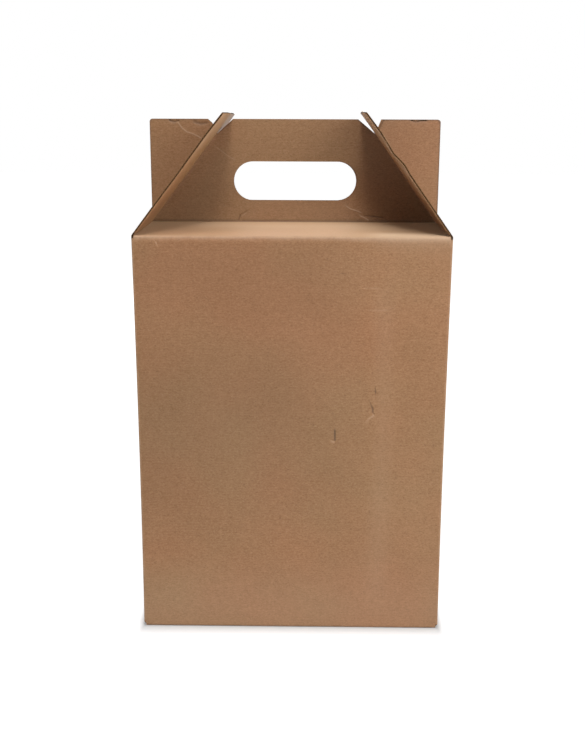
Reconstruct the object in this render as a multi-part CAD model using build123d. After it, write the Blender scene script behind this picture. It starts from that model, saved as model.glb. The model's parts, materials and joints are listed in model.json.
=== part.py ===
from build123d import *
from math import atan2, cos, hypot, radians, sin, tan
import os

# A carry box folded from one sheet of thin fluted board, closed, with its handle up.
# Frame: X to the right, Y to the rear, Z up. The origin is on the floor below the box's middle.
# Lengths are in millimetres and angles in degrees.

# The sheet and its folds
board = 1.4
fold_radius = 0.6
cut_gap = 0.6
layer_gap = 0.2

# The body, outside
box_width = 250.0
box_depth = 219.0
box_height = 332.0
seam_tab_width = 28.0
seam_tab_taper = 14.0

# The interlocked bottom, seen in plan
bottom_seam = 8.0
lock_width = 116.0
lock_flare = 8.0
lock_recess = 20.0
tongue_reach = 24.0
tongue_taper = 10.0
step_run = 5.0
side_bottom_reach = 58.0
side_bottom_taper = 44.0

# The two handle panels, heights above the shoulder
handle_height = 87.0
wing_inset = 0.6
wing_relief = 3.0
wing_corner_radius = 2.5
hand_hole_length = 107.0
hand_hole_height = 33.0
hand_hole_rise = 18.5
notch_depth = 12.0
notch_inner_slope = 39.0
notch_outer_run = 6.6

# The two side flaps
flap_lean = 53.2
flap_strip = 16.0
flap_taper = 8.0
flap_corner_radius = 6.0
crease_gap = 0.15
window_side_clearance = 0.3
window_end_clearance = 0.8

# Values worked out from the sizes above
half_width = box_width / 2
half_depth = box_depth / 2
fold_outer = fold_radius + board
fold_middle = fold_radius + board / 2
panel_half_width = half_width - fold_outer
panel_half_depth = half_depth - fold_outer
low_layer = board / 2
high_layer = low_layer + board + layer_gap
shoulder_layer = box_height - board / 2
handle_layer = (layer_gap + board) / 2
lap = board
notch_bottom_rise = handle_height - notch_depth
notch_bottom_inset = notch_bottom_rise / tan(radians(flap_lean)) + board / 2
notch_inner_inset = notch_bottom_inset + notch_depth / tan(radians(notch_inner_slope))
notch_outer_inset = notch_bottom_inset - notch_outer_run
window_length = hypot(notch_outer_inset, handle_height) + window_end_clearance
window_half_width = layer_gap / 2 + board + fold_radius + window_side_clearance
flap_length = window_length + flap_strip


def folded(*points):
    """Cross-section of the sheet along its middle line, rounded at every fold."""
    return trace(FilletPolyline(*points, radius=fold_middle), board)


def across(section, half_length):
    """A section drawn in Y and Z, as long as the panel is wide."""
    return extrude(Plane.YZ * section, amount=half_length, both=True)


def along(section, front, rear):
    """A section drawn in X and Z, from the front place to the rear place."""
    return extrude(Plane.XZ.offset(-rear) * section, amount=rear - front)


def mirrored(outline):
    """Both halves of an outline that is drawn for the right side, X and Y in its own plane."""
    return outline + mirror(outline, about=Plane.YZ)


# Front sheet: bottom panel with its tongue, front wall, front shoulder and foot of the handle

def front_strip():
    wall = -(half_depth - board / 2)
    step_end = bottom_seam + lock_recess - cut_gap
    tongue_end = bottom_seam + lock_recess + tongue_reach
    section = folded(
        (tongue_end, high_layer),
        (step_end, high_layer),
        (step_end - step_run, low_layer),
        (wall, low_layer),
        (wall, shoulder_layer),
        (-handle_layer, shoulder_layer),
        (-handle_layer, box_height + fold_radius + lap),
    )
    beside_tongue = make_face(Polyline(
        (lock_width / 2 + lock_flare, bottom_seam),
        (half_width, bottom_seam),
        (half_width, tongue_end + lap),
        (lock_width / 2 - tongue_taper, tongue_end + lap),
        (lock_width / 2 - tongue_taper, tongue_end),
        (lock_width / 2, step_end),
        close=True,
    ))
    return across(section, panel_half_width) - extrude(mirrored(beside_tongue), high_layer + board)


# Rear sheet: bottom panel with the recess for the tongue, rear wall, rear shoulder, foot of the handle

def rear_strip():
    wall = half_depth - board / 2
    section = folded(
        (bottom_seam + cut_gap, low_layer),
        (wall, low_layer),
        (wall, shoulder_layer),
        (handle_layer, shoulder_layer),
        (handle_layer, box_height + fold_radius + lap),
    )
    recess = make_face(Polyline(
        (0, 0),
        (lock_width / 2 + lock_flare + cut_gap, 0),
        (lock_width / 2 + lock_flare + cut_gap, bottom_seam),
        (lock_width / 2 + cut_gap, bottom_seam + lock_recess),
        (0, bottom_seam + lock_recess),
        close=True,
    ))
    raw_edge = Pos(-half_width + cut_gap / 2, half_depth - board, fold_outer) * Box(
        fold_outer, board, box_height - 2 * fold_outer, align=(Align.MIN, Align.MIN, Align.MIN)
    )
    return across(section, panel_half_width) + raw_edge - extrude(mirrored(recess), high_layer)


# Side sheets: side wall up to the flap's crease, and the inner bottom flap

def side_strip(side, rear):
    wall = half_width - board / 2
    inner_end = half_width - side_bottom_reach
    section = folded((inner_end, high_layer), (wall, high_layer), (wall, box_height))
    strip = along(section, -panel_half_depth, panel_half_depth)
    corner = make_face(Polyline(
        (inner_end, panel_half_depth - side_bottom_taper),
        (panel_half_width, panel_half_depth),
        (inner_end, panel_half_depth),
        close=True,
    ))
    corners = extrude(corner + mirror(corner, about=Plane.XZ), high_layer + board)
    strip -= corners
    if rear < panel_half_depth:
        strip -= Pos(wall, rear, 0) * Box(
            2 * fold_outer, fold_outer, 2 * box_height, align=(Align.CENTER, Align.MIN, Align.CENTER)
        )
    return strip if side > 0 else mirror(strip, about=Plane.YZ)


# Upright corner folds, and the seam tab that is glued inside the rear wall

def corner_fold(side, end):
    x_wall = side * (half_width - board / 2)
    y_wall = end * (half_depth - board / 2)
    section = folded(
        (side * (panel_half_width - lap), y_wall),
        (x_wall, y_wall),
        (x_wall, end * (panel_half_depth - lap)),
    )
    return Pos(0, 0, fold_outer) * extrude(section, box_height - 2 * fold_outer)


def seam_tab():
    x_wall = -(half_width - board / 2)
    y_tab = half_depth - board - board / 2
    height = box_height - 2 * fold_outer
    section = folded(
        (x_wall, y_tab - fold_outer - lap),
        (x_wall, y_tab),
        (x_wall + seam_tab_width, y_tab),
    )
    tab = Pos(0, 0, fold_outer) * extrude(section, height)
    tab_start = -panel_half_width
    tab_end = x_wall + seam_tab_width
    slope = make_face(Polyline(
        (tab_start, fold_outer),
        (tab_end + lap, fold_outer),
        (tab_end + lap, fold_outer + seam_tab_taper),
        close=True,
    ))
    low_cut = along(slope, y_tab - board, y_tab + board)
    high_cut = mirror(low_cut, about=Plane.XY.offset(box_height / 2))
    return tab - low_cut - high_cut


# Handle panel: hand hole in the middle, a V notch and a wing at each end

def handle_outline():
    foot = box_height + fold_radius
    top = box_height + handle_height
    wing_edge = half_width - wing_inset
    half = make_face(Polyline(
        (0, foot),
        (panel_half_width, foot),
        (wing_edge, foot + wing_relief),
        (wing_edge, top),
        (half_width - notch_outer_inset, top),
        (half_width - notch_bottom_inset, top - notch_depth),
        (half_width - notch_inner_inset, top),
        (0, top),
        close=True,
    ))
    wing_corner = half.vertices().filter_by(lambda v: v.X > wing_edge - cut_gap and v.Y > top - cut_gap)
    outline = mirrored(fillet(wing_corner, wing_corner_radius))
    hole = Pos(0, box_height + hand_hole_rise + hand_hole_height / 2) * SlotOverall(
        hand_hole_length, hand_hole_height
    )
    return outline - hole


def handle_panels():
    outline = handle_outline()
    front = along(outline, -layer_gap / 2 - board, -layer_gap / 2)
    rear = along(outline, layer_gap / 2, layer_gap / 2 + board)
    return front, rear


# Side flap: leans in from its crease, with the window that the wings pass through

def right_flap():
    lean = radians(flap_lean)
    outline = make_face(Polyline(
        (0, panel_half_depth),
        (flap_length, panel_half_depth - flap_taper),
        (flap_length, -panel_half_depth + flap_taper),
        (0, -panel_half_depth),
        close=True,
    ))
    free_corners = outline.vertices().filter_by(lambda v: v.X > flap_length / 2)
    outline = fillet(free_corners, flap_corner_radius)
    window = Pos(window_length / 2, 0) * Rectangle(window_length, 2 * window_half_width)
    crease = Plane(
        origin=(half_width, 0, box_height + crease_gap),
        x_dir=(-cos(lean), 0, sin(lean)),
        z_dir=(sin(lean), 0, cos(lean)),
    )
    plate = extrude(crease * (outline - window), amount=-board)
    below_crease = Pos(half_width, 0, box_height + crease_gap) * Box(
        box_width, 2 * box_depth, 2 * board, align=(Align.CENTER, Align.CENTER, Align.MAX)
    )
    return plate - below_crease


def carton():
    front_panel, rear_panel = handle_panels()
    pieces = [
        rear_strip(),
        side_strip(1, panel_half_depth),
        side_strip(-1, panel_half_depth - board),
        corner_fold(1, -1),
        corner_fold(-1, -1),
        corner_fold(1, 1),
        seam_tab(),
        front_panel,
        rear_panel,
    ]
    return front_strip().fuse(*pieces).clean()


right_side_flap = right_flap()
nodes = {
    "carton": carton(),
    "right_side_flap": right_side_flap,
    "left_side_flap": mirror(right_side_flap, about=Plane.YZ),
}

os.makedirs("parts", exist_ok=True)
for name, solid in nodes.items():
    solid.label = name
    export_step(solid, f"parts/{name}.step")

print(f"flap length {flap_length:.1f}, window length {window_length:.1f}")
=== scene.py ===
import json
from math import atan2, ceil, cos, hypot, pi, radians, sin, tan

import bpy
import numpy as np
from mathutils import Matrix, Vector, noise
from mathutils.geometry import delaunay_2d_cdt


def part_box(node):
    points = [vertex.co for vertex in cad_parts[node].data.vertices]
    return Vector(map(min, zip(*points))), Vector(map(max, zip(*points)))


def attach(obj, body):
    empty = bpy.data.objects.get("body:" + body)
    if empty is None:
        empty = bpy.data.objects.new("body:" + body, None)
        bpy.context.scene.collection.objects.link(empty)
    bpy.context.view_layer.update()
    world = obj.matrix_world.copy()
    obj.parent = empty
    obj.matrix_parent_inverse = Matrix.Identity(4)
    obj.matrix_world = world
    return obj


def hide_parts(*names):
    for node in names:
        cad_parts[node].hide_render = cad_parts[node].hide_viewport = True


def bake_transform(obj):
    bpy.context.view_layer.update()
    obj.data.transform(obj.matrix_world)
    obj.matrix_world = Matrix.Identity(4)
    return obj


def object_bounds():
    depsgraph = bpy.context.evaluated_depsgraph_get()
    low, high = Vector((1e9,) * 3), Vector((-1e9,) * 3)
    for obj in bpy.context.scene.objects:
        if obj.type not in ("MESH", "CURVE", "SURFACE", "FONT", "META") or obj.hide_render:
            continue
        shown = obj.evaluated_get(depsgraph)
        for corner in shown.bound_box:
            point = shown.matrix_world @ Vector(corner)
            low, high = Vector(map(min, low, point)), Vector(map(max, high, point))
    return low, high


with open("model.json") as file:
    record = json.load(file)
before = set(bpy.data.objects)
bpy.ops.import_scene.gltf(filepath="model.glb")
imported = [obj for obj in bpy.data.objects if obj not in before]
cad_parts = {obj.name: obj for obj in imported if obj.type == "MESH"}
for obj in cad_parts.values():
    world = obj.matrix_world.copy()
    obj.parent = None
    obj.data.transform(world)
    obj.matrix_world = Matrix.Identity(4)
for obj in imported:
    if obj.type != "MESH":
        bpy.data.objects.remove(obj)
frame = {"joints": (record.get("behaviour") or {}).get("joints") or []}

# A carry box folded from one sheet of thin fluted board, standing closed with its handle up.
# X to the right, Y to the rear, Z up. Lengths are in millimetres until a mesh is made.
MM = 0.001
cad_low, cad_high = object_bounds()
_, carton_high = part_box("carton")
joints = {joint["child"]: joint for joint in frame["joints"]}

# The board
BOARD = 1.4
LINER = 0.24
FOLD_RADIUS = 0.6
FOLD_OUTER = FOLD_RADIUS + BOARD
FOLD_MIDDLE = FOLD_RADIUS + BOARD / 2
CUT_GAP = 0.6
LAYER_GAP = 0.2
FLUTE_PITCH = 2.4
FLUTE_THICKNESS = 0.2
FLUTE_RECESS = 0.4
FLUTE_STEP = 0.3
FLUTE_LEAST_SLOPE = 0.35
GROOVE_DEPTH = 1.3

# The body and the handle. Their outer sizes come from the frame.
HALF_WIDTH, HALF_DEPTH, HANDLE_TOP = np.array(carton_high) / MM
HANDLE_HEIGHT = 87.0
BOX_HEIGHT = HANDLE_TOP - HANDLE_HEIGHT
PANEL_HALF_WIDTH = HALF_WIDTH - FOLD_OUTER
PANEL_HALF_DEPTH = HALF_DEPTH - FOLD_OUTER
WALL_X = HALF_WIDTH - BOARD / 2
WALL_Y = HALF_DEPTH - BOARD / 2
LOW_LAYER = BOARD / 2
HIGH_LAYER = LOW_LAYER + BOARD + LAYER_GAP
SHOULDER_LAYER = BOX_HEIGHT - BOARD / 2
HANDLE_LAYER = (LAYER_GAP + BOARD) / 2
WALL_FOOT = FOLD_OUTER
WALL_HEAD = BOX_HEIGHT - FOLD_OUTER
SIDE_FOOT = HIGH_LAYER + FOLD_MIDDLE
SEAM_TAB_WIDTH = 28.0
SEAM_TAB_TAPER = 14.0

# The interlocked bottom
BOTTOM_SEAM = 8.0
LOCK_HALF_WIDTH = 58.0
LOCK_FLARE = 8.0
LOCK_RECESS = 20.0
TONGUE_REACH = 24.0
TONGUE_TAPER = 10.0
STEP_RUN = 5.0
SIDE_BOTTOM_REACH = 58.0
SIDE_BOTTOM_TAPER = 44.0

# The handle's outline, which sits a little to the right of the box.
# The places of a notch's outer end, bottom and inner end count in from the box's edge.
HANDLE_SHIFT = 1.3
LEFT_WING_EDGE = HALF_WIDTH - 1.6
RIGHT_WING_EDGE = HALF_WIDTH - 0.1
WING_RELIEF = 3.0
WING_CORNER_RADIUS = 2.5
HAND_HOLE_LENGTH = 106.8
HAND_HOLE_HEIGHT = 33.0
HAND_HOLE_RISE = 18.5
HAND_HOLE_SHIFT = 1.7
NOTCH_DEPTH = 13.2
NOTCH_OUTER_INSET = 50.2
LEFT_NOTCH_BOTTOM = 58.5
LEFT_NOTCH_INNER = 73.3
RIGHT_NOTCH_BOTTOM = 55.5
RIGHT_NOTCH_INNER = 71.6
LEFT_WING_NICK = (3.6, 3.2)
REAR_HANDLE_SHIFT = -0.4
REAR_HOLE_SHIFT = 0.5

# The side flaps
WINDOW_LENGTH = 102.4
WINDOW_HALF_WIDTH = 2.4
WINDOW_REACH = 50.0
FLAP_TAPER = 8.0
FLAP_FRONT_CORNER = 1.6
FLAP_REAR_CORNER = 5.0
FLAP_FOLD_REACH = 3.0
TIP_SLOPE = ((30.0, 0.5), (-40.0, 0.1))
CREASE_BAND = (-0.2, 1.1)
BLEND_ABOVE = 1.3
BLEND_INWARD = 1.0

# How far the box is squeezed, and a power that moves the narrowest place below mid-height
WALL_SQUEEZE = 0.75
SQUEEZE_POWER = 0.85

# Hollows in the board: depth and size, the distance from a fold over which they fade, and the waves' gain
WALL_HOLLOWS = (0.9, 75.0)
SHOULDER_HOLLOWS = (0.7, 60.0)
SIDE_HOLLOWS = (1.4, 80.0)
HOLLOW_FADE = 28.0
HOLLOW_GAIN = 1.6

# The flaps' bow and kinks
BOW_START = 78.0
BOW_FADE = 25.0
BOW_WIDTH = 70.0
KINK_WIDTH = 90.0

# Painted sheen: how much paler the shoulders and the flap tips are painted, from 0 to 1, and how far it
# reaches down from a tip
SHOULDER_PAINTED_SHEEN = 0.38
TIP_PAINTED_SHEEN = 0.42
TIP_PAINTED_SHEEN_LENGTH = 40.0

# How far each liner's pattern is moved, the two of them in opposite directions, in metres
PATTERN_SHIFT = 0.5

# Nets of points: their spacing, the steps, rows and columns in a fold, and the angle of a sharp edge
SPACING = 5.0
FLAP_SPACING = 3.5
FOLD_STEPS = 8
FOLD_ROWS = 6
CORNER_COLUMNS = 7
CREASE_ROWS = 13
SHARP_ANGLE = 40.0

# How far a net stays from its edge, as a share of the spacing, and how wide a narrow mark is, in spacings
EDGE_CLEAR = 0.35
NARROW_MARK = 2.0

# A narrow mark's own net, in widths of the mark: how far the plain grid stays off, the step along the
# mark, and the offsets beside it. Then the net's distance from an edge.
MARK_CLEAR = 3.0
MARK_STEP = 1.5
MARK_OFFSETS = (-2.0, -1.3, -0.65, 0, 0.65, 1.3, 2.0)
MARK_EDGE_CLEAR = 0.3


# Sections: routes with round corners, measured by the distance along them

class Route:
    """A section's middle line, with a round fold at each inner point."""

    def __init__(self, points):
        points = np.array(points, float)
        headings = np.unwrap([atan2(*run[::-1]) for run in np.diff(points, axis=0)])
        places, angles, folds = [points[0]], [headings[0]], []
        for corner, before, after in zip(points[1:-1], headings[:-1], headings[1:]):
            side = np.sign(after - before)
            reach = FOLD_MIDDLE * tan(abs(after - before) / 2)
            start = corner - reach * np.array([cos(before), sin(before)])
            centre = start + side * FOLD_MIDDLE * np.array([-sin(before), cos(before)])
            folds.append((len(places), len(places) + FOLD_STEPS))
            for angle in np.linspace(before, after, FOLD_STEPS + 1):
                places.append(centre - side * FOLD_MIDDLE * np.array([-sin(angle), cos(angle)]))
                angles.append(angle)
        places.append(points[-1])
        angles.append(headings[-1])
        self.places = np.array(places)
        self.angles = np.array(angles)
        lengths = np.hypot(*np.diff(self.places, axis=0).T)
        self.distances = np.concatenate([[0], np.cumsum(lengths)])
        self.folds = [(self.distances[a], self.distances[b]) for a, b in folds]
        self.turns = -np.sign(np.diff(headings))
        self.starts = [0] + [b for _, b in folds]

    def reach(self, run, value):
        """The distance at which a straight run, counted from 0, comes to a value of its main coordinate."""
        index = self.starts[run]
        heading = np.array([cos(self.angles[index]), sin(self.angles[index])])
        axis = int(abs(heading[1]) > abs(heading[0]))
        return self.distances[index] + (value - self.places[index][axis]) / heading[axis]

    def at(self, distance):
        """Places and the directions to the left of the route there."""
        place = np.stack([np.interp(distance, self.distances, self.places[:, k]) for k in (0, 1)], axis=1)
        angle = np.interp(distance, self.distances, self.angles)
        return place, np.stack([-np.sin(angle), np.cos(angle)], axis=1)

    def bend(self, distance):
        """1 where a fold stretches the outside, -1 where it presses it, and 0 on a straight run."""
        slack = 0.01
        folded = np.zeros(len(distance))
        for (start, end), turn in zip(self.folds, self.turns):
            folded[(distance > start - slack) & (distance < end + slack)] = turn
        return folded


# Flat outlines and the nets of points that fill them

def part_count(length, spacing):
    """How many parts a length is cut into, none of them longer than the spacing."""
    return max(1, ceil(length / spacing - 1e-6))


def divided(loop, spacing):
    """The loop's corners, and points between them where they are far apart."""
    points = []
    for start, end in zip(loop, loop[1:] + loop[:1]):
        run_x, run_y = end[0] - start[0], end[1] - start[1]
        parts = part_count(hypot(run_x, run_y), spacing)
        for part in range(parts):
            share = part / parts
            points.append((start[0] + run_x * share, start[1] + run_y * share))
    return points


def arc(centre, radius, start, end, steps):
    """Points along an arc, angles in degrees."""
    angles = np.radians(np.linspace(start, end, steps + 1))
    return [(centre[0] + radius * cos(a), centre[1] + radius * sin(a)) for a in angles]


def inside(points, loop):
    """Which points a loop encloses."""
    loop = np.array(loop)
    x, y = points[:, :1], points[:, 1:]
    x1, y1 = loop[:, 0], loop[:, 1]
    x2, y2 = np.roll(x1, -1), np.roll(y1, -1)
    rise = np.where(y2 == y1, 1e-12, y2 - y1)
    crossed = ((y1 > y) != (y2 > y)) & (x < (x2 - x1) * (y - y1) / rise + x1)
    return crossed.sum(1) % 2 == 1


def between(points, loops):
    """Which points lie inside the first loop and outside the others."""
    keep = inside(points, loops[0])
    for hole in loops[1:]:
        keep &= ~inside(points, hole)
    return keep


def distance_to(points, line):
    """The distance of each point from an open line."""
    best = np.full(len(points), 1e9)
    line = np.array(line, float)
    for start, end in zip(line[:-1], line[1:]):
        run = end - start
        share = np.clip((points - start) @ run / max(run @ run, 1e-9), 0, 1)
        best = np.minimum(best, np.hypot(*(points - start - share[:, None] * run).T))
    return best


class Mark:
    """A crease, dent, stain, worn place, painted shade or painted light along a line.

    A depth above 0 is sunk. A tone above 0 is paler and one below 0 is darker.
    """

    def __init__(self, line, width, depth, tone):
        self.line, self.width, self.depth, self.tone = line, width, depth, tone

    def strength(self, points):
        """1 on the line, fading out beside it."""
        return np.exp(-(distance_to(points, self.line) / self.width) ** 2)

    def net(self):
        """Points along and beside the mark, close enough to give its form."""
        line = np.array(self.line, float)
        points = []
        for start, end in zip(line[:-1], line[1:]):
            run = end - start
            length = np.hypot(*run)
            across = np.array([-run[1], run[0]]) / length
            steps = max(2, ceil(length / (MARK_STEP * self.width)))
            for share in np.linspace(-0.5 / steps, 1 + 0.5 / steps, steps + 2):
                for offset in MARK_OFFSETS:
                    points.append(start + run * share + across * offset * self.width)
        return np.array(points)


def clearance(points, others):
    """Each point's distance from the nearest of some others."""
    nearest = []
    for part in np.array_split(points, len(points) // 1000 + 1):
        runs = part[:, None] - others[None]
        nearest.append(np.hypot(*runs.transpose(2, 0, 1)).min(1))
    return np.concatenate(nearest)


def filled(outline, holes=(), rows=(), marks=(), spacing=SPACING):
    """Points and triangles that fill an outline round its holes.

    A row is a level whose points lie on one straight line. Narrow marks get finer nets of their own.
    """
    near = EDGE_CLEAR * spacing
    loops = [divided(outline, spacing)] + [divided(hole, spacing) for hole in holes]
    edge = np.concatenate([np.array(loop) for loop in loops])
    low, high = edge.min(0), edge.max(0)
    columns = np.linspace(low[0], high[0], ceil((high[0] - low[0]) / spacing) + 1)[1:-1]
    levels = np.linspace(low[1], high[1], ceil((high[1] - low[1]) / spacing) + 1)
    grid = np.stack(np.meshgrid(columns, levels), axis=-1).reshape(-1, 2)
    for row in rows:
        grid = grid[abs(grid[:, 1] - row) > near]
    narrow = [mark for mark in marks if mark.width < NARROW_MARK * spacing]
    for mark in narrow:
        grid = grid[distance_to(grid, mark.line) > MARK_CLEAR * mark.width]
    grid = grid[clearance(grid, edge) > near]
    for mark in narrow:
        net = mark.net()
        grid = np.concatenate([grid, net[clearance(net, edge) > MARK_EDGE_CLEAR]])
    grid = grid[between(grid, loops)]
    points, edges = [], []
    for loop in loops:
        first = len(points)
        points += loop
        edges += [(first + k, first + (k + 1) % len(loop)) for k in range(len(loop))]
    for row in rows:
        first = len(points)
        across = np.concatenate([[low[0] - 1], columns, [high[0] + 1]])
        points += [(x, row) for x in across]
        edges += [(first + k, first + k + 1) for k in range(len(across) - 1)]
    points += [tuple(point) for point in grid]
    made, _, triangles, *_ = delaunay_2d_cdt([Vector(p) for p in points], edges, [], 0, 1e-4)
    made = np.array([tuple(v) for v in made])
    triangles = np.array(triangles)
    triangles = triangles[between(made[triangles].mean(1), loops)]
    used, triangles = np.unique(triangles, return_inverse=True)
    return made[used], triangles.reshape(-1, 3)


class Sheet:
    """The middle of a folded board.

    At each point it has the place, the direction to the outside, the place on the flat sheet, the tone
    (above 0 paler, from wear and painted light, below 0 darker, from stains and painted shade) and the fold
    (1 stretched, -1 pressed, 0 on a straight run).
    """

    def __init__(self, place, normal, flat, tone, fold, triangles):
        self.place, self.normal, self.flat = place, normal, flat
        self.tone, self.fold = tone, fold
        corner = place[triangles]
        facing = np.cross(corner[:, 1] - corner[:, 0], corner[:, 2] - corner[:, 0])
        turned = (facing * normal[triangles].sum(1)).sum(1) < 0
        self.triangles = np.where(turned[:, None], triangles[:, ::-1], triangles)


def welded(sheets):
    """One sheet from several that share the points along their edges.

    Places are compared in steps of 0.01, moved a little so that shared places don't fall between two steps.
    """
    off_step = 0.0031
    place = np.concatenate([s.place for s in sheets])
    shift = np.cumsum([0] + [len(s.place) for s in sheets[:-1]])
    triangles = np.concatenate([s.triangles + k for s, k in zip(sheets, shift)])
    keys = np.round(place + off_step, 2)
    _, first, index = np.unique(keys, axis=0, return_index=True, return_inverse=True)
    index = index.reshape(-1)
    triangles = index[triangles]
    whole = (triangles[:, 0] != triangles[:, 1]) & (triangles[:, 1] != triangles[:, 2])
    whole &= triangles[:, 0] != triangles[:, 2]
    fields = []
    for name in ("normal", "flat", "tone", "fold"):
        fields.append(np.concatenate([getattr(s, name) for s in sheets])[first])
    return Sheet(place[first], *fields, triangles[whole])


def cut_edges(triangles):
    """The directed edges that only one triangle has."""
    edges = np.concatenate([triangles[:, [0, 1]], triangles[:, [1, 2]], triangles[:, [2, 0]]])
    taken = {tuple(edge) for edge in edges}
    return np.array([edge for edge in edges if (edge[1], edge[0]) not in taken])


def unit(vectors):
    """The same directions, at length 1."""
    return vectors / np.maximum(np.linalg.norm(vectors, axis=1, keepdims=True), 1e-9)


def outward(sheet, edges):
    """At each point of a cut edge, the direction out of the sheet in its own plane."""
    along = sheet.place[edges[:, 1]] - sheet.place[edges[:, 0]]
    out = unit(np.cross(along, sheet.normal[edges[:, 0]]))
    total = np.zeros_like(sheet.place)
    for k in (0, 1):
        np.add.at(total, edges[:, k], out)
    return unit(total)


def new_mesh(name, vertices, faces, values, materials, kinds):
    """A mesh object, with its flat places, tones and folds kept as attributes for the materials."""
    mesh = bpy.data.meshes.new(name)
    mesh.from_pydata((vertices * MM).tolist(), [], faces)
    for key, data in values.items():
        form, field = ("FLOAT_VECTOR", "vector") if data.ndim == 2 else ("FLOAT", "value")
        attribute = mesh.attributes.new(key, form, "POINT")
        attribute.data.foreach_set(field, data.astype(np.float32).ravel())
    for material in materials:
        mesh.materials.append(material)
    mesh.polygons.foreach_set("material_index", kinds)
    mesh.polygons.foreach_set("use_smooth", [True] * len(faces))
    mesh.set_sharp_from_angle(angle=radians(SHARP_ANGLE))
    thing = bpy.data.objects.new(name, mesh)
    bpy.context.scene.collection.objects.link(thing)
    return thing


def board(name, sheet, materials):
    """The solid board round a sheet: two liners, and at each cut edge the gap between them.

    The materials are the liner's, the cut edge's and the gap's, which is near black as painted shade.
    """
    edges = cut_edges(sheet.triangles)
    out = outward(sheet, edges)
    rim = np.unique(edges)
    row = np.zeros(len(sheet.place), int)
    row[rim] = np.arange(len(rim))
    half, core = BOARD / 2, BOARD / 2 - LINER
    count = len(sheet.place)
    deep = -out[rim] * GROOVE_DEPTH
    middle, across = sheet.place[rim], sheet.normal[rim]
    vertices = np.concatenate([
        sheet.place + sheet.normal * half,
        sheet.place - sheet.normal * half,
        middle + across * core,
        middle + across * core + deep,
        middle - across * core + deep,
        middle - across * core,
    ])
    faces = sheet.triangles.tolist() + (sheet.triangles[:, ::-1] + count).tolist()
    kinds = [0] * len(faces)
    outside = np.arange(count)
    rings = [outside] + [row + 2 * count + k * len(rim) for k in range(4)] + [outside + count]
    for high, low, kind in zip(rings, rings[1:], (1, 2, 2, 2, 1)):
        for a, b in edges:
            faces.append([int(high[b]), int(high[a]), int(low[a]), int(low[b])])
            kinds.append(kind)
    repeat = np.concatenate([outside, outside, *[rim] * 4])
    side = np.concatenate([np.ones(count), -np.ones(count), np.zeros(4 * len(rim))])
    flat = np.column_stack([sheet.flat[repeat] * MM, side * PATTERN_SHIFT])
    values = {"flat": flat, "tone": sheet.tone[repeat], "fold": sheet.fold[repeat]}
    return new_mesh(name, vertices, faces, values, materials, kinds)


def chains(edges):
    """Cut edges joined into open or closed chains of points."""
    after = {int(a): int(b) for a, b in edges}
    reached = set(after.values())
    starts = [a for a in after if a not in reached]
    found = []
    while after:
        start = starts.pop() if starts else next(iter(after))
        chain = [start]
        while chain[-1] in after:
            chain.append(after.pop(chain[-1]))
        found.append(chain)
    return found


def flute_ends(name, sheet, material, wanted):
    """The wavy middle of the board, seen where a cut crosses the flutes, which run level."""
    edges = cut_edges(sheet.triangles)
    out = outward(sheet, edges)
    runs = abs(sheet.flat[edges[:, 1]] - sheet.flat[edges[:, 0]])
    crossing = (runs[:, 1] > FLUTE_LEAST_SLOPE * runs[:, 0]) & wanted(sheet.place[edges].mean(1))
    vertices, faces = [], []
    height = BOARD / 2 - LINER - FLUTE_THICKNESS / 2
    near, far = FLUTE_RECESS, GROOVE_DEPTH
    for chain in chains(edges[crossing]):
        place, level = sheet.place[chain], sheet.flat[chain][:, 1]
        lengths = np.concatenate([[0], np.cumsum(np.linalg.norm(np.diff(place, axis=0), axis=1))])
        count = max(2, ceil(lengths[-1] / FLUTE_STEP))
        spots = np.linspace(0, lengths[-1], count + 1)

        def along(values):
            return np.stack([np.interp(spots, lengths, values[:, k]) for k in range(3)], axis=1)

        across, inward = unit(along(sheet.normal[chain])), -unit(along(out[chain]))
        wave = height * np.sin(2 * pi * np.interp(spots, lengths, level) / FLUTE_PITCH)
        first = len(vertices)
        for offset, deep in ((0.5, near), (-0.5, near), (-0.5, far), (0.5, far)):
            risen = across * (wave + offset * FLUTE_THICKNESS)[:, None]
            vertices += list(along(place) + risen + inward * deep)
        size = count + 1
        for k in range(count):
            for a, b in ((0, 1), (1, 2), (2, 3), (3, 0)):
                one, other = first + a * size + k, first + b * size + k
                faces.append([one, other, other + 1, one + 1])
        faces.append([first + k * size for k in (3, 2, 1, 0)])
        faces.append([first + k * size + count for k in (0, 1, 2, 3)])
    vertices = np.array(vertices)
    zero = np.zeros(len(vertices))
    values = {"flat": vertices * MM, "tone": zero, "fold": zero}
    return new_mesh(name, vertices, faces, values, [material], [0] * len(faces))


def on_handle(place):
    return place[:, 2] > WALL_HEAD


def far_from_window(place):
    return abs(place[:, 1]) > WINDOW_REACH


# The board's unevenness

def hollows(place, clear, form, seed):
    """How far the board has sunk, in gentle hollows that fade out towards a fold.

    clear is each point's distance from the nearest fold, and form is the hollows' depth and size.
    """
    depth, size = form
    waves = np.array([noise.noise(Vector(p) / size + Vector((seed, 0, 0))) for p in place])
    fade = np.clip(clear / HOLLOW_FADE, 0, 1)
    return -depth * (0.5 + 0.5 * np.clip(waves * HOLLOW_GAIN, -1, 1)) * fade * fade * (3 - 2 * fade)


def squeezed(place):
    """The places, with the box a little narrower somewhat below mid-height."""
    height = np.clip(place[:, 2] / BOX_HEIGHT, 0, 1)
    place = place.copy()
    place[:, 0] *= 1 - WALL_SQUEEZE / HALF_WIDTH * np.sin(pi * height ** SQUEEZE_POWER)
    return place


# Front and rear of the carton, each from its bottom panel to the top of its handle panel

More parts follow.
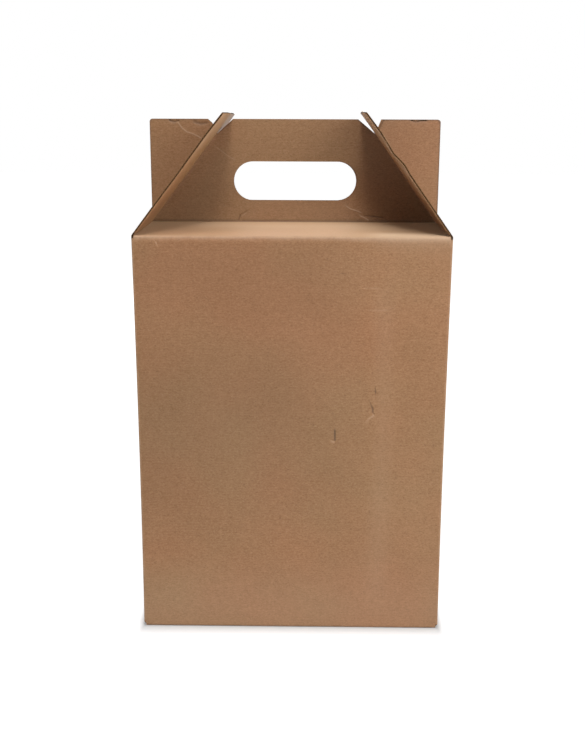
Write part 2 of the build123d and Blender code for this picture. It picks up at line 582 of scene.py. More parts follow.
def notched_side(side, shift):
    """The handle's outline on one side, from its foot to the notch's inner corner, as X and height."""
    edge = RIGHT_WING_EDGE if side > 0 else LEFT_WING_EDGE
    centre = (edge - WING_CORNER_RADIUS, HANDLE_TOP - WING_CORNER_RADIUS)
    corner = arc(centre, WING_CORNER_RADIUS, 0, 90, steps=4)
    box_edge = HALF_WIDTH + shift * side
    wing_end = box_edge - NOTCH_OUTER_INSET
    if side > 0:
        bottom, inner = RIGHT_NOTCH_BOTTOM, RIGHT_NOTCH_INNER
        nick = []
    else:
        bottom, inner = LEFT_NOTCH_BOTTOM, LEFT_NOTCH_INNER
        nick = [(wing_end - LEFT_WING_NICK[0], HANDLE_TOP - LEFT_WING_NICK[1])]
    return [
        (PANEL_HALF_WIDTH, BOX_HEIGHT + FOLD_RADIUS),
        (edge, BOX_HEIGHT + FOLD_RADIUS + WING_RELIEF),
        *corner,
        (wing_end, HANDLE_TOP),
        *nick,
        (box_edge - bottom, HANDLE_TOP - NOTCH_DEPTH),
        (box_edge - inner, HANDLE_TOP),
    ]


def hand_hole(level, shift):
    """The hand hole's outline, with the height turned into a distance along the section."""
    radius = HAND_HOLE_HEIGHT / 2
    reach = HAND_HOLE_LENGTH / 2 - radius
    middle = level(BOX_HEIGHT + HAND_HOLE_RISE + radius)
    right = arc((shift + reach, middle), radius, -90, 90, steps=28)
    left = arc((shift - reach, middle), radius, 90, 270, steps=28)
    return right + left


def placed_marks(route, runs, marks):
    """The marks, with their heights or Y places on a panel turned into distances along the route."""
    placed = []
    for panel, panel_marks in marks.items():
        for mark in panel_marks:
            line = [(x, route.reach(runs[panel], value)) for x, value in mark.line]
            placed.append(Mark(line, mark.width, mark.depth, mark.tone))
    return placed


def laid(route, outline_side, hole_shift, marks, wall_run, mirror, seed):
    """A front or rear strip: its outline is filled flat and then folded along the route.

    wall_run is the number of the wall's run in the route, and mirror is -1 for the rear, whose route is
    drawn as if it were the front's.
    """
    runs = {"wall": wall_run, "shoulder": wall_run + 1, "handle": wall_run + 2}

    def height(value):
        return route.reach(runs["handle"], value)

    outline = outline_side(1) + [(-x, t) for x, t in reversed(outline_side(-1))]
    hole = hand_hole(height, hole_shift)
    rows = [row for fold in route.folds for row in np.linspace(*fold, FOLD_ROWS)]
    placed = placed_marks(route, runs, marks)
    points, triangles = filled(outline, [hole], rows, placed)
    along = points[:, 1]
    place, left = route.at(along)
    sunk = np.zeros(len(points))
    tone = np.zeros(len(points))
    for mark in placed:
        strength = mark.strength(points)
        sunk -= mark.depth * strength
        tone += mark.tone * strength
    solid = np.column_stack([points[:, 0], mirror * place[:, 0], place[:, 1]])
    normal = np.column_stack([np.zeros(len(points)), mirror * left[:, 0], left[:, 1]])
    wall_start = route.folds[wall_run - 1][1]
    wall_end, shoulder_start = route.folds[wall_run]
    shoulder_end = route.folds[wall_run + 1][0]
    on_wall = (along > wall_start) & (along < wall_end)
    clear = np.minimum(PANEL_HALF_WIDTH - abs(points[:, 0]), solid[:, 2] - WALL_FOOT)
    clear = np.where(on_wall, np.minimum(clear, WALL_HEAD - solid[:, 2]), 0)
    sunk += hollows(solid, np.maximum(clear, 0), WALL_HOLLOWS, seed)
    on_shoulder = (along > shoulder_start) & (along < shoulder_end)
    clear = np.minimum(abs(solid[:, 1]) - FOLD_OUTER, PANEL_HALF_DEPTH - abs(solid[:, 1]))
    clear = np.where(on_shoulder, np.maximum(clear, 0), 0)
    sunk += hollows(solid, clear, SHOULDER_HOLLOWS, seed + 9)
    solid += normal * sunk[:, None]
    # The shoulders are painted paler as a painted sheen, which fades out over their folds.
    sheen_span = [wall_end - 1, wall_end + 1, shoulder_end - 3, shoulder_end]
    tone += SHOULDER_PAINTED_SHEEN * np.interp(along, sheen_span, [0, 1, 1, 0])
    flat = points.copy()
    flat[:, 1] += WALL_FOOT - wall_start
    return Sheet(squeezed(solid), normal, flat, tone, route.bend(along), triangles)


def front_sheet(marks):
    step_end = BOTTOM_SEAM + LOCK_RECESS - CUT_GAP
    tongue_end = BOTTOM_SEAM + LOCK_RECESS + TONGUE_REACH
    route = Route([
        (tongue_end, HIGH_LAYER),
        (step_end, HIGH_LAYER),
        (step_end - STEP_RUN, LOW_LAYER),
        (-WALL_Y, LOW_LAYER),
        (-WALL_Y, SHOULDER_LAYER),
        (-HANDLE_LAYER, SHOULDER_LAYER),
        (-HANDLE_LAYER, HANDLE_TOP),
    ])

    def side(sign):
        seam = route.reach(2, BOTTOM_SEAM)
        return [
            (LOCK_HALF_WIDTH - TONGUE_TAPER, 0),
            (LOCK_HALF_WIDTH, route.reach(0, step_end)),
            (LOCK_HALF_WIDTH + LOCK_FLARE, seam),
            (PANEL_HALF_WIDTH, seam),
            *[(PANEL_HALF_WIDTH, route.reach(3, z)) for z in (WALL_FOOT, SIDE_FOOT, WALL_HEAD)],
            *[(x, route.reach(5, z)) for x, z in notched_side(sign, HANDLE_SHIFT)],
        ]

    return laid(route, side, HAND_HOLE_SHIFT, marks, wall_run=3, mirror=1, seed=0)


def rear_sheet():
    route = Route([
        (-BOTTOM_SEAM - CUT_GAP, LOW_LAYER),
        (-WALL_Y, LOW_LAYER),
        (-WALL_Y, SHOULDER_LAYER),
        (-HANDLE_LAYER, SHOULDER_LAYER),
        (-HANDLE_LAYER, HANDLE_TOP),
    ])

    def side(sign):
        # On the left the wall ends in a raw edge, which covers the seam tab's fold
        raw = HALF_WIDTH - CUT_GAP / 2
        recess = route.reach(0, -BOTTOM_SEAM - LOCK_RECESS)
        corner = [(raw, WALL_FOOT), (raw, WALL_HEAD)] if sign < 0 else [(PANEL_HALF_WIDTH, SIDE_FOOT)]
        corner = [(x, route.reach(1, z)) for x, z in corner]
        return [
            (LOCK_HALF_WIDTH + CUT_GAP, recess),
            (LOCK_HALF_WIDTH + LOCK_FLARE + CUT_GAP, 0),
            (PANEL_HALF_WIDTH, 0),
            (PANEL_HALF_WIDTH, route.reach(1, WALL_FOOT)),
            *corner,
            (PANEL_HALF_WIDTH, route.reach(1, WALL_HEAD)),
            *[(x, route.reach(3, z)) for x, z in notched_side(sign, REAR_HANDLE_SHIFT)],
        ]

    return laid(route, side, REAR_HOLE_SHIFT, {}, wall_run=1, mirror=-1, seed=40)


# Side walls with their inner bottom flaps, the upright corners and the seam tab

def side_sheet(side, rear):
    """A side wall and its bottom flap. rear is how far back the wall reaches."""
    inner_end = HALF_WIDTH - SIDE_BOTTOM_REACH
    route = Route([(-inner_end, HIGH_LAYER), (-WALL_X, HIGH_LAYER), (-WALL_X, WALL_HEAD)])
    narrow = PANEL_HALF_DEPTH - SIDE_BOTTOM_TAPER
    fold_start = route.folds[0][0]
    outline = [
        (-narrow, 0),
        (narrow, 0),
        (rear, fold_start),
        (rear, route.reach(1, SIDE_FOOT)),
        (rear, route.reach(1, WALL_HEAD)),
        (-PANEL_HALF_DEPTH, route.reach(1, WALL_HEAD)),
        (-PANEL_HALF_DEPTH, route.reach(1, SIDE_FOOT)),
        (-PANEL_HALF_DEPTH, fold_start),
    ]
    points, triangles = filled(outline, rows=np.linspace(*route.folds[0], FOLD_ROWS))
    place, left = route.at(points[:, 1])
    solid = np.column_stack([-side * place[:, 0], points[:, 0], place[:, 1]])
    normal = np.column_stack([-side * left[:, 0], np.zeros(len(points)), left[:, 1]])
    clear = np.minimum(rear - points[:, 0], PANEL_HALF_DEPTH + points[:, 0])
    clear = np.minimum(clear, solid[:, 2] - SIDE_FOOT)
    clear = np.minimum(clear, WALL_HEAD - solid[:, 2])
    sunk = hollows(solid, np.maximum(clear, 0), SIDE_HOLLOWS, 20 + side)
    solid += normal * sunk[:, None]
    flat = points.copy()
    flat[:, 0] += side * (HALF_WIDTH + HALF_DEPTH)
    flat[:, 1] += WALL_HEAD - route.reach(1, WALL_HEAD)
    tone = np.zeros(len(points))
    return Sheet(squeezed(solid), normal, flat, tone, route.bend(points[:, 1]), triangles)


def upright_fold(side, end, rear):
    """A corner between two walls, with levels that match the walls' edges."""
    wall_y = rear + FOLD_MIDDLE if end > 0 else WALL_Y
    start = (side * PANEL_HALF_WIDTH, end * wall_y)
    centre = (side * PANEL_HALF_WIDTH, end * (wall_y - FOLD_MIDDLE))
    levels = np.linspace(SIDE_FOOT, WALL_HEAD, part_count(WALL_HEAD - SIDE_FOOT, SPACING) + 1)
    angles = np.linspace(0, pi / 2, CORNER_COLUMNS)
    place, normal, flat = [], [], []
    for angle in angles:
        way = np.array([side * sin(angle), end * cos(angle), 0])
        for level in levels:
            place.append([centre[0] + FOLD_MIDDLE * way[0], centre[1] + FOLD_MIDDLE * way[1], level])
            normal.append(way)
            flat.append([start[0] + side * FOLD_MIDDLE * angle, level])
    size = len(levels)
    triangles = []
    for i in range(len(angles) - 1):
        for j in range(size - 1):
            a, b = i * size + j, (i + 1) * size + j
            triangles += [[a, b, b + 1], [a, b + 1, a + 1]]
    place = squeezed(np.array(place))
    zero = np.zeros(len(place))
    return Sheet(place, np.array(normal), np.array(flat), zero, zero + 1, np.array(triangles))


def seam_tab(rear):
    """The tab that is glued inside the rear wall, beside the left wall's rear edge."""
    tab_y = rear + FOLD_MIDDLE
    tab_end = -WALL_X + SEAM_TAB_WIDTH
    outline = [
        (-PANEL_HALF_WIDTH, SIDE_FOOT),
        (tab_end, SIDE_FOOT + SEAM_TAB_TAPER),
        (tab_end, WALL_HEAD - SEAM_TAB_TAPER),
        (-PANEL_HALF_WIDTH, WALL_HEAD),
    ]
    points, triangles = filled(outline)
    place = np.column_stack([points[:, 0], np.full(len(points), tab_y), points[:, 1]])
    normal = np.tile([0.0, 1.0, 0.0], (len(points), 1))
    zero = np.zeros(len(points))
    return Sheet(squeezed(place), normal, points.copy(), zero, zero, triangles)


# The side flaps: a fold at the wall's head, then the leaning board with its window

class Flap:
    """One side flap.

    Its leans are in degrees from level, at the front edge, the middle and the rear edge. A kink has a
    distance up the board, a width and a depth.
    """

    def __init__(self, side, length, rear_shorter, leans, tip_dip, kinks):
        self.side, self.length, self.rear_shorter = side, length, rear_shorter
        self.leans, self.tip_dip, self.kinks = leans, tip_dip, kinks
        self.body = "right_flap" if side > 0 else "left_flap"
        self.hinge = np.array(joints[self.body]["pos_m"]) / MM

    def at(self, y, up):
        """Places and outward directions at a distance up the board from where its fold starts."""
        share = np.clip(y / PANEL_HALF_DEPTH, -1, 1)
        front, middle, rear = np.radians(self.leans)
        front_lean = middle + (front - middle) * share ** 2
        rear_lean = middle + (rear - middle) * share
        turn = pi / 2 - np.where(share < 0, front_lean, rear_lean)
        start = self.hinge[2] - (BOARD / 2 + FOLD_MIDDLE) * np.tan(turn / 2)
        angle = np.clip(up / FOLD_MIDDLE, 0, turn)
        past = np.maximum(up - FOLD_MIDDLE * turn, 0)
        x = WALL_X - FOLD_MIDDLE * (1 - np.cos(angle)) - past * np.sin(turn)
        z = start + np.minimum(up, 0) + FOLD_MIDDLE * np.sin(angle) + past * np.cos(turn)
        place = np.column_stack([self.side * x, y, z])
        normal = np.column_stack([self.side * np.cos(angle), np.zeros(len(y)), np.sin(angle)])
        return place, normal

    def dip(self, y, up):
        """The board's bow: its tip hangs inwards at the front, and it is kinked where it was pressed."""
        share = np.clip((up - BOW_START) / (self.length - BOW_START), 0, 1)
        not_rear = np.clip(1.15 - y / BOW_WIDTH, 0, 1)
        only_front = np.clip(-y / KINK_WIDTH, 0, 1) ** 3
        bow = -self.tip_dip * share ** 2 * not_rear
        for centre, width, depth in self.kinks:
            bow -= depth * np.exp(-((up - centre) / width) ** 2) * only_front
        return bow

    def outline(self):
        """The flap from its fold to its tip, as distances along Y and up the board."""
        def edge(up, end):
            return end * (PANEL_HALF_DEPTH - FLAP_TAPER * up / self.length)

        tip = self.length
        rear_tip = tip - self.rear_shorter
        rear_centre = (edge(rear_tip, 1) - FLAP_REAR_CORNER, rear_tip - FLAP_REAR_CORNER)
        front_centre = (edge(tip, -1) + FLAP_FRONT_CORNER, tip - FLAP_FRONT_CORNER)
        return [
            (edge(FLAP_FOLD_REACH, -1), FLAP_FOLD_REACH),
            (-WINDOW_HALF_WIDTH, FLAP_FOLD_REACH),
            (-WINDOW_HALF_WIDTH, WINDOW_LENGTH),
            (WINDOW_HALF_WIDTH, WINDOW_LENGTH),
            (WINDOW_HALF_WIDTH, FLAP_FOLD_REACH),
            (edge(FLAP_FOLD_REACH, 1), FLAP_FOLD_REACH),
            *arc(rear_centre, FLAP_REAR_CORNER, 0, 90, steps=8),
            *[(y, tip - share * self.rear_shorter) for y, share in TIP_SLOPE],
            *arc(front_centre, FLAP_FRONT_CORNER, 90, 180, steps=6),
        ]

    def sheet(self, outline, rows=()):
        """The board inside an outline on the flap, folded and bowed."""
        points, triangles = filled(outline, rows=rows, spacing=FLAP_SPACING)
        y, up = points.T
        place, normal = self.at(y, up)
        fade = np.clip((up - FLAP_FOLD_REACH) / BOW_FADE, 0, 1)
        place += normal * (self.dip(y, up) * fade)[:, None]
        flat_y = y + self.side * (HALF_WIDTH + HALF_DEPTH)
        flat = np.column_stack([flat_y, WALL_HEAD + up - self.fold_foot()])
        fold = ((up > CREASE_BAND[0]) & (up < CREASE_BAND[1])).astype(float)
        # Towards its tip the flap is painted paler, as a painted sheen.
        tone = TIP_PAINTED_SHEEN * np.clip(1 - (self.length - up) / TIP_PAINTED_SHEEN_LENGTH, 0, 1)
        return Sheet(squeezed(place), normal, flat, tone, fold, triangles)

    def fold_foot(self):
        """The distance up the board at the wall's head, which lies before the fold."""
        turn = pi / 2 - radians(self.leans[1])
        return WALL_HEAD - self.hinge[2] + (BOARD / 2 + FOLD_MIDDLE) * tan(turn / 2)

    def build(self, paper):
        """The leaf and its flutes, which swing, and the crease between them and the wall."""
        sheet = self.sheet(self.outline())
        leaf = board(f"{self.body}_board", sheet, paper)
        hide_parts("right_side_flap" if self.side > 0 else "left_side_flap")
        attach(leaf, self.body)
        flutes = flute_ends(f"{self.body}_flutes", sheet, paper[1], far_from_window)
        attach(flutes, self.body)
        foot = self.fold_foot()
        halves = []
        rows = np.linspace(foot, FLAP_FOLD_REACH, CREASE_ROWS)[1:-1]
        for end in (-1, 1):
            outer, inner = end * PANEL_HALF_DEPTH, end * WINDOW_HALF_WIDTH
            ring = [(outer, foot), (inner, foot), (inner, FLAP_FOLD_REACH), (outer, FLAP_FOLD_REACH)]
            halves.append(self.sheet(ring, rows))
        crease = board(f"{self.body}_crease", welded(halves), paper)
        centre = self.hinge - np.array([self.side * BOARD / 2, 0, 0])
        end = (centre + np.array([-self.side * BLEND_INWARD, 0, BLEND_ABOVE])) * MM
        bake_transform(crease)


# Materials

class Nodes:
    """The node tree of a material or a world, with short calls to add to it."""

    def __init__(self, owner):
        owner.use_nodes = True
        self.tree = owner.node_tree

    def feed(self, node, inputs):
        """Give inputs of a node their values, or link them to other nodes."""
        for key, value in inputs.items():
            if isinstance(value, bpy.types.NodeSocket):
                self.tree.links.new(value, node.inputs[key])
            else:
                node.inputs[key].default_value = value

    def add(self, kind, inputs=None, **settings):
        node = self.tree.nodes.new(kind)
        for key, value in settings.items():
            setattr(node, key, value)
        self.feed(node, inputs or {})
        return node

    def math(self, operation, a, b=0.0, c=0.0):
        return self.add("ShaderNodeMath", {0: a, 1: b, 2: c}, operation=operation).outputs[0]

    def attribute(self, name, output="Fac"):
        return self.add("ShaderNodeAttribute", attribute_name=name).outputs[output]

    def vector(self, operation, a, b=(0.0, 0.0, 0.0)):
        return self.add("ShaderNodeVectorMath", {0: a, 1: b}, operation=operation).outputs[0]

    def scaled(self, vector, scale):
        return self.vector("MULTIPLY", vector, scale)

    def noise(self, vector, scale, detail, rough=0.5):
        inputs = {"Vector": vector, "Scale": scale, "Detail": detail, "Roughness": rough}
        return self.add("ShaderNodeTexNoise", inputs).outputs["Fac"]

    def mixed(self, share, a, b):
        return self.add("ShaderNodeMix", {0: share, 6: a, 7: b}, data_type="RGBA").outputs[2]

    def stretched(self, value, low, high, to_low=0.0, to_high=1.0):
        inputs = {"Value": value, "From Min": low, "From Max": high, "To Min": to_low, "To Max": to_high}
        return self.add("ShaderNodeMapRange", inputs).outputs[0]

    def seen(self):
        """1 for what is seen, directly or as a sheen, and 0 for what only lights other things."""
        rays = self.add("ShaderNodeLightPath")
        return self.math("MAXIMUM", rays.outputs["Is Camera Ray"], rays.outputs["Is Glossy Ray"])


def shade(colour, factor):
    """Lighter or darker, in the same hue."""
    return tuple(part * factor for part in colour[:3]) + (1.0,)


def greyed(colour, factor):
    """Lighter or darker by about the same visible step in every channel, so lighter is also greyer."""
    return tuple(part * factor ** power for part, power in zip(colour, (1.0, 1.34, 1.9))) + (1.0,)


KRAFT = (0.40, 0.207, 0.093, 1.0)
PALE_FIBRE_AND_PAINTED_LIGHT = (0.66, 0.47, 0.31, 1.0)
STAIN_AND_PAINTED_SHADE = (0.10, 0.05, 0.025, 1.0)
CUT_EDGE = (0.28, 0.15, 0.07, 1.0)
# The gap inside a cut edge is near black, as painted shade inside the board.
CORE_PAINTED_SHADE = (0.06, 0.03, 0.015, 1.0)


def kraft_liner(name, base):
    """Brown liner paper: fibres, a cloudy sheet, light and dark flecks, faint flutes, stretched folds paler
    from wear and a painted highlight, pressed folds darker from painted shade, and the marks' tones.

    The noise scales are counts to the metre on the flat sheet.
    """
    material = bpy.data.materials.new(name)
    n = Nodes(material)
    flat = n.attribute("flat", "Vector")
    clouds = n.noise(flat, 14.0, 3.0)
    patches = n.noise(flat, 150.0, 2.0)
    fibres = n.noise(n.scaled(flat, (480.0, 950.0, 1.0)), 1.0, 3.0, 0.6)
    grain = n.noise(n.scaled(flat, (900.0, 1300.0, 1.0)), 1.0, 1.0)
    height = n.add("ShaderNodeSeparateXYZ", {0: flat}).outputs[1]
    turn = n.math("MULTIPLY", height, 2 * pi / (FLUTE_PITCH * MM))
    flutes = n.math("SINE", turn)
    level = 0.5
    for pattern, weight in ((clouds, 0.45), (patches, 0.3), (fibres, 1.2), (grain, 1.0)):
        level = n.math("MULTIPLY_ADD", n.math("SUBTRACT", pattern, 0.5), weight, level)
    level = n.math("MULTIPLY_ADD", flutes, 0.03, level)
    level = n.stretched(level, 0.0, 1.0)
    hue = n.stretched(n.noise(flat, 9.0, 2.0), 0.35, 0.65)
    ruddy = (base[0] * 1.03, base[1] * 0.965, base[2] * 0.94)
    olive = (base[0] * 0.97, base[1] * 1.02, base[2])
    low = n.mixed(hue, greyed(ruddy, 0.78), greyed(olive, 0.78))
    high = n.mixed(hue, greyed(ruddy, 1.22), greyed(olive, 1.22))
    colour = n.mixed(level, low, high)
    flecks = n.noise(n.scaled(flat, (700.0, 900.0, 1.0)), 1.0, 0.0)
    dark = n.math("MULTIPLY", n.stretched(flecks, 0.27, 0.20), 0.35)
    light = n.math("MULTIPLY", n.stretched(flecks, 0.74, 0.81), 0.10)
    colour = n.mixed(dark, colour, shade(base, 0.45))
    colour = n.mixed(light, colour, PALE_FIBRE_AND_PAINTED_LIGHT)
    fold = n.attribute("fold")
    # Stretched folds are paler, from worn fibres and a painted highlight; pressed folds are darker, from
    # painted shade.
    wear_and_highlight = n.stretched(n.noise(flat, 120.0, 3.0), 0.35, 0.7, 0.08, 0.26)
    colour = n.mixed(n.math("MULTIPLY", n.stretched(fold, 0.0, 1.0), wear_and_highlight), colour, PALE_FIBRE_AND_PAINTED_LIGHT)
    colour = n.mixed(n.stretched(fold, 0.0, -1.0, 0.0, 0.55), colour, shade(base, 0.3))
    # Above 0 the tone pales the paper, for wear and for painted sheen and light; below 0 it darkens it, for
    # stains and for painted shade.
    tone = n.attribute("tone")
    colour = n.mixed(n.stretched(tone, 0.0, 1.0), colour, PALE_FIBRE_AND_PAINTED_LIGHT)
    colour = n.mixed(n.stretched(tone, 0.0, -1.0), colour, STAIN_AND_PAINTED_SHADE)
    relief = n.math("MULTIPLY_ADD", flutes, 0.08, n.math("MULTIPLY", fibres, 0.6))
    relief = n.math("MULTIPLY_ADD", grain, 0.4, relief)
    bump = n.add("ShaderNodeBump", {"Strength": 0.5, "Distance": 0.00012, "Height": relief})
    n.feed(n.tree.nodes["Principled BSDF"], {
        "Base Color": colour,
        "Roughness": n.stretched(fibres, 0.2, 0.8, 0.46, 0.62),
        "Normal": bump.outputs[0],
        "Specular IOR Level": 0.45,
        "Diffuse Roughness": 1.0,
    })
    return material


def cut_paper(name, base):
    """Paper ends along a cut: fine light and dark fibres, and stains."""
    material = bpy.data.materials.new(name)
    n = Nodes(material)
    flat = n.attribute("flat", "Vector")
    fibres = n.noise(n.scaled(flat, (1500.0, 1500.0, 1.0)), 1.0, 2.0)
    colour = n.mixed(n.stretched(fibres, 0.3, 0.7), shade(base, 0.7), shade(base, 1.3))
    dirt = n.stretched(n.noise(flat, 300.0, 2.0), 0.6, 0.75, 0.0, 0.4)
    bump = n.add("ShaderNodeBump", {"Strength": 0.5, "Distance": 0.0002, "Height": fibres})
    n.feed(n.tree.nodes["Principled BSDF"], {
        "Base Color": n.mixed(dirt, colour, STAIN_AND_PAINTED_SHADE),
        "Roughness": 0.92,
        "Normal": bump.outputs[0],
        "Specular IOR Level": 0.2,
    })
    return material


PAPER = [
    kraft_liner("kraft_liner", KRAFT),
    cut_paper("kraft_cut_edge", CUT_EDGE),
    cut_paper("kraft_core_shade", CORE_PAINTED_SHADE),
]

# Wear, painted shade and painted light on the front. A mark's places are X and the height above the floor,
# or on the shoulder X and Y. Then come its width, depth and tone.
FRONT_MARKS = {
    "wall": [
        # Scratches and dents, whose dark and pale tones are partly painted shade and highlight on their
        # relief, and a dark line of painted shade along the foot
        Mark([(35.5, 175.0), (35.7, 166.8)], 0.75, 0.5, -0.8),
        Mark([(34.0, 165.6), (34.8, 165.4)], 0.7, 0.0, 0.6),
        Mark([(65.4, 195.0), (66.2, 193.0), (65.9, 191.4), (66.9, 189.3)], 0.7, 0.6, -0.7),
        Mark([(67.0, 190.5), (66.6, 187.8), (63.0, 185.2)], 0.6, -0.1, 0.45),
        Mark([(67.8, 208.2), (68.1, 207.6)], 0.6, 0.3, -0.8),
        Mark([(-105.8, 327.2), (-105.2, 325.8)], 0.6, 0.1, 0.6),
        Mark([(-123.0, 1.0), (123.0, 1.0)], 0.9, 0.0, -0.5),
        Mark([(56.2, 291.7), (67.2, 291.9)], 0.7, 0.0, 0.16),
        Mark([(62.1, 274.2), (75.5, 274.4)], 0.7, 0.0, 0.14),
        Mark([(38.9, 303.4), (40.4, 303.3)], 0.6, 0.1, -0.3),
        # A low upright ridge with a painted highlight, and broad painted shade over the left half and the
        # upper left and painted light along the foot
        Mark([(72.0, 40.0), (74.5, 160.0), (71.5, 285.0)], 9.0, -0.42, 0.1),
        Mark([(-125.0, 180.0), (-30.0, 195.0)], 75.0, 0.0, -0.2),
        Mark([(-125.0, 305.0), (10.0, 305.0)], 40.0, 0.0, -0.12),
        Mark([(-110.0, 12.0), (115.0, 12.0)], 38.0, 0.0, 0.14),
    ],
    "shoulder": [
        # Painted light on the shoulder: paler at its right front, its right end and across its middle
        Mark([(75.0, -95.0), (118.0, -96.0)], 15.0, 0.0, 0.58),
        Mark([(60.0, -45.0), (105.0, -35.0)], 22.0, 0.0, 0.2),
        Mark([(-70.0, -28.0), (45.0, -28.0)], 18.0, 0.0, 0.2),
    ],
    "handle": [
        # Broad painted shade under the right flap, and painted light beside the hand hole's left end and
        # below it
        Mark([(62.0, 415.0), (70.0, 380.0)], 26.0, 0.0, -0.2),
        Mark([(-85.0, 340.0), (-62.0, 372.0)], 24.0, 0.0, 0.08),
        Mark([(-35.0, 342.0), (45.0, 342.0)], 14.0, 0.0, 0.08),
        # Creases in the left wing and beside the hand hole, whose dark and pale lines are partly painted
        # shade and highlight on their relief
        Mark(
            [(-99.4, 416.3), (-95.7, 411.2), (-91.7, 408.0), (-86.8, 406.6), (-79.8, 403.1)],
            0.45, -0.15, 0.6,
        ),
        Mark([(-65.9, 395.2), (-56.2, 388.1), (-50.9, 384.9)], 0.45, 0.1, 0.25),
        Mark([(-39.6, 341.8), (-43.0, 339.9), (-46.8, 337.5)], 0.55, 0.2, -0.35),
        Mark([(-46.8, 337.5), (-47.3, 335.6), (-47.9, 333.9)], 0.6, 0.3, -0.55),
        Mark([(-41.5, 339.2), (-45.4, 336.6)], 0.4, -0.2, 0.3),
        Mark([(45.9, 345.5), (49.4, 343.1), (54.0, 341.9), (58.2, 340.3)], 0.45, -0.2, 0.65),
        Mark([(58.2, 337.1), (61.8, 335.6), (64.8, 333.9)], 0.5, -0.25, 0.75),
        Mark([(61.7, 337.6), (68.6, 337.0), (77.8, 335.8)], 0.45, 0.25, -0.6),
        # Crushed places and dark edges of the wings and notches
        Mark([(-85.1, 416.8), (-79.9, 414.9), (-74.6, 415.7)], 1.2, 0.6, -0.45),
        Mark([(-106.1, 417.6), (-102.4, 416.4), (-98.6, 417.2)], 0.8, 0.7, -0.4),
        Mark([(99.7, 418.2), (103.4, 417.1), (107.9, 418.0), (113.1, 418.2)], 0.7, 0.6, -0.35),
        Mark([(-123.4, 340.0), (-123.4, 416.0), (-121.2, 419.0), (-76.0, 419.0)], 0.9, 0.05, -0.4),
        Mark([(124.9, 340.0), (124.9, 416.0), (122.7, 419.0), (77.0, 419.0)], 0.9, 0.05, -0.6),
        Mark([(76.3, 418.6), (70.0, 407.6)], 0.8, 0.0, -0.5),
        Mark([(54.9, 418.6), (69.0, 407.6)], 0.8, 0.0, -0.5),
    ],
}

left_rear = PANEL_HALF_DEPTH - BOARD
carton_sheet = welded([
    front_sheet(FRONT_MARKS),
    rear_sheet(),
    side_sheet(1, PANEL_HALF_DEPTH),
    side_sheet(-1, left_rear),
    upright_fold(1, -1, PANEL_HALF_DEPTH),
    upright_fold(-1, -1, PANEL_HALF_DEPTH),
    upright_fold(1, 1, PANEL_HALF_DEPTH),
    upright_fold(-1, 1, left_rear),
    seam_tab(left_rear),
])
carton = board("carton_board", carton_sheet, PAPER)
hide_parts("carton")
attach(carton, "carton")
ends = flute_ends("carton_flutes", carton_sheet, PAPER[1], on_handle)
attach(ends, "carton")

left_flap = Flap(
    side=-1,
    length=117.4,
    rear_shorter=4.4,
    leans=(52.9, 52.8, 53.7),
    tip_dip=0.8,
    kinks=[(60.0, 14.0, 0.3)],
)
right_flap = Flap(
    side=1,
    length=115.8,
    rear_shorter=3.6,
    leans=(54.3, 54.4, 56.6),
    tip_dip=0.9,
    kinks=[(80.0, 6.0, 1.2), (66.0, 5.0, -0.8)],
)
left_flap.build(PAPER)
right_flap.build(PAPER)


# Floor, light and camera. The camera was solved on the photo's corners, and its image height and
# focal length are in pixels.

IMAGE_HEIGHT = 755
FOCAL = 1066.0
CAMERA_PLACE = Vector((12.0, -936.0, 431.0)) * MM
YAW = radians(-0.77)
PITCH = radians(14.36)
ROLL = radians(0.20)


def studio_floor():
    """A pale floor. Where it is seen it also glows, weakly at the box's foot, which leaves a painted
    contact shadow over the real one there, and fully a little beyond.
    """
    mesh = bpy.data.meshes.new("floor")
    reach = 6.0
    corners = [(-reach, -reach, 0), (reach, -reach, 0), (reach, reach, 0), (-reach, reach, 0)]
    mesh.from_pydata(corners, [], [(0, 1, 2, 3)])
    floor = bpy.data.objects.new("floor", mesh)
    bpy.context.scene.collection.objects.link(floor)
    material = bpy.data.materials.new("floor")
    n = Nodes(material)
    seen = n.seen()
    shader = n.tree.nodes["Principled BSDF"]
    colour = n.mixed(seen, (0.95, 0.95, 0.95, 1), (0.6, 0.6, 0.6, 1))
    n.feed(shader, {"Base Color": colour, "Roughness": 0.9, "Specular IOR Level": 0.0})
    place = n.add("ShaderNodeNewGeometry").outputs["Position"]
    # The glow is weaker within a few centimetres of the box, most narrowly at its sides: a painted contact
    # shadow.
    beside = n.vector("SUBTRACT", n.vector("ABSOLUTE", place), tuple(cad_high))
    away = n.scaled(n.vector("MAXIMUM", beside), (3.5, 1.0, 1.0))
    away = n.add("ShaderNodeVectorMath", {0: away}, operation="LENGTH").outputs["Value"]
    at_foot = n.stretched(away, 0.0, 0.022, 0.16, 0.8)
    far_off = n.stretched(away, 0.2, 1.2, 0.0, 0.2)
    strength = n.math("MULTIPLY", seen, n.math("ADD", at_foot, far_off))
    glow = n.add("ShaderNodeEmission", {"Color": (1, 1, 1, 1), "Strength": strength})
    both = n.add("ShaderNodeAddShader", {0: shader.outputs[0], 1: glow.outputs[0]})
    n.feed(n.tree.nodes["Material Output"], {"Surface": both.outputs[0]})
    mesh.materials.append(material)


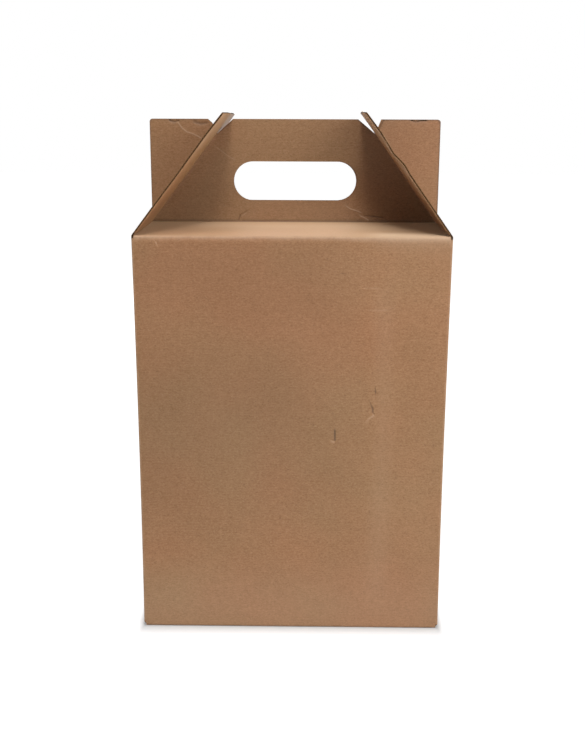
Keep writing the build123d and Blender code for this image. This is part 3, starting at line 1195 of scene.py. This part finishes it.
def world_light(strength):
    """White where it is seen, and much weaker where it lights the box."""
    world = bpy.data.worlds.new("studio")
    bpy.context.scene.world = world
    n = Nodes(world)
    level = n.stretched(n.seen(), 0.0, 1.0, strength, 1.0)
    n.feed(n.tree.nodes["Background"], {"Color": (1, 1, 1, 1), "Strength": level})


def soft_box(name, azimuth, elevation, distance, size, power):
    """A square lamp facing the box. Azimuth is from straight in front, to the right."""
    a, e = radians(azimuth), radians(elevation)
    target = Vector((0, 0, BOX_HEIGHT * 0.6 * MM))
    away = Vector((sin(a) * cos(e), -cos(a) * cos(e), sin(e)))
    data = bpy.data.lights.new(name, "AREA")
    data.size = size
    data.energy = power
    lamp = bpy.data.objects.new(name, data)
    lamp.location = target + away * distance
    lamp.rotation_mode = "QUATERNION"
    lamp.rotation_quaternion = away.to_track_quat("Z", "Y")
    lamp.visible_camera = False
    bpy.context.scene.collection.objects.link(lamp)


def photo_camera():
    data = bpy.data.cameras.new("camera")
    camera = bpy.data.objects.new("camera", data)
    data.sensor_width = 36.0
    data.lens = FOCAL / IMAGE_HEIGHT * data.sensor_width
    data.clip_start, data.clip_end = 0.01, 50
    forward = Vector((sin(YAW) * cos(PITCH), cos(YAW) * cos(PITCH), -sin(PITCH)))
    level = Vector((cos(YAW), -sin(YAW), 0))
    upward = level.cross(forward)
    right = cos(ROLL) * level + sin(ROLL) * upward
    up = -sin(ROLL) * level + cos(ROLL) * upward
    turned = Matrix((right, up, -forward)).transposed().to_4x4()
    camera.matrix_world = Matrix.Translation(CAMERA_PLACE) @ turned
    bpy.context.scene.collection.objects.link(camera)
    bpy.context.scene.camera = camera


studio_floor()
world_light(0.02)

# Each lamp's azimuth, elevation, distance, size and power
soft_box("key", 1, 43, 1.8, 0.25, 7.2)
soft_box("overhead", 0, 80, 1.6, 0.9, 13.5)
soft_box("right_fill", 36, 25, 0.95, 0.5, 3.4)
soft_box("left_fill", -60, 40, 1.2, 0.8, 1.5)
soft_box("rear_fill", -150, 3, 1.8, 0.5, 6)

photo_camera()
bpy.context.scene.view_settings.view_transform = "Standard"
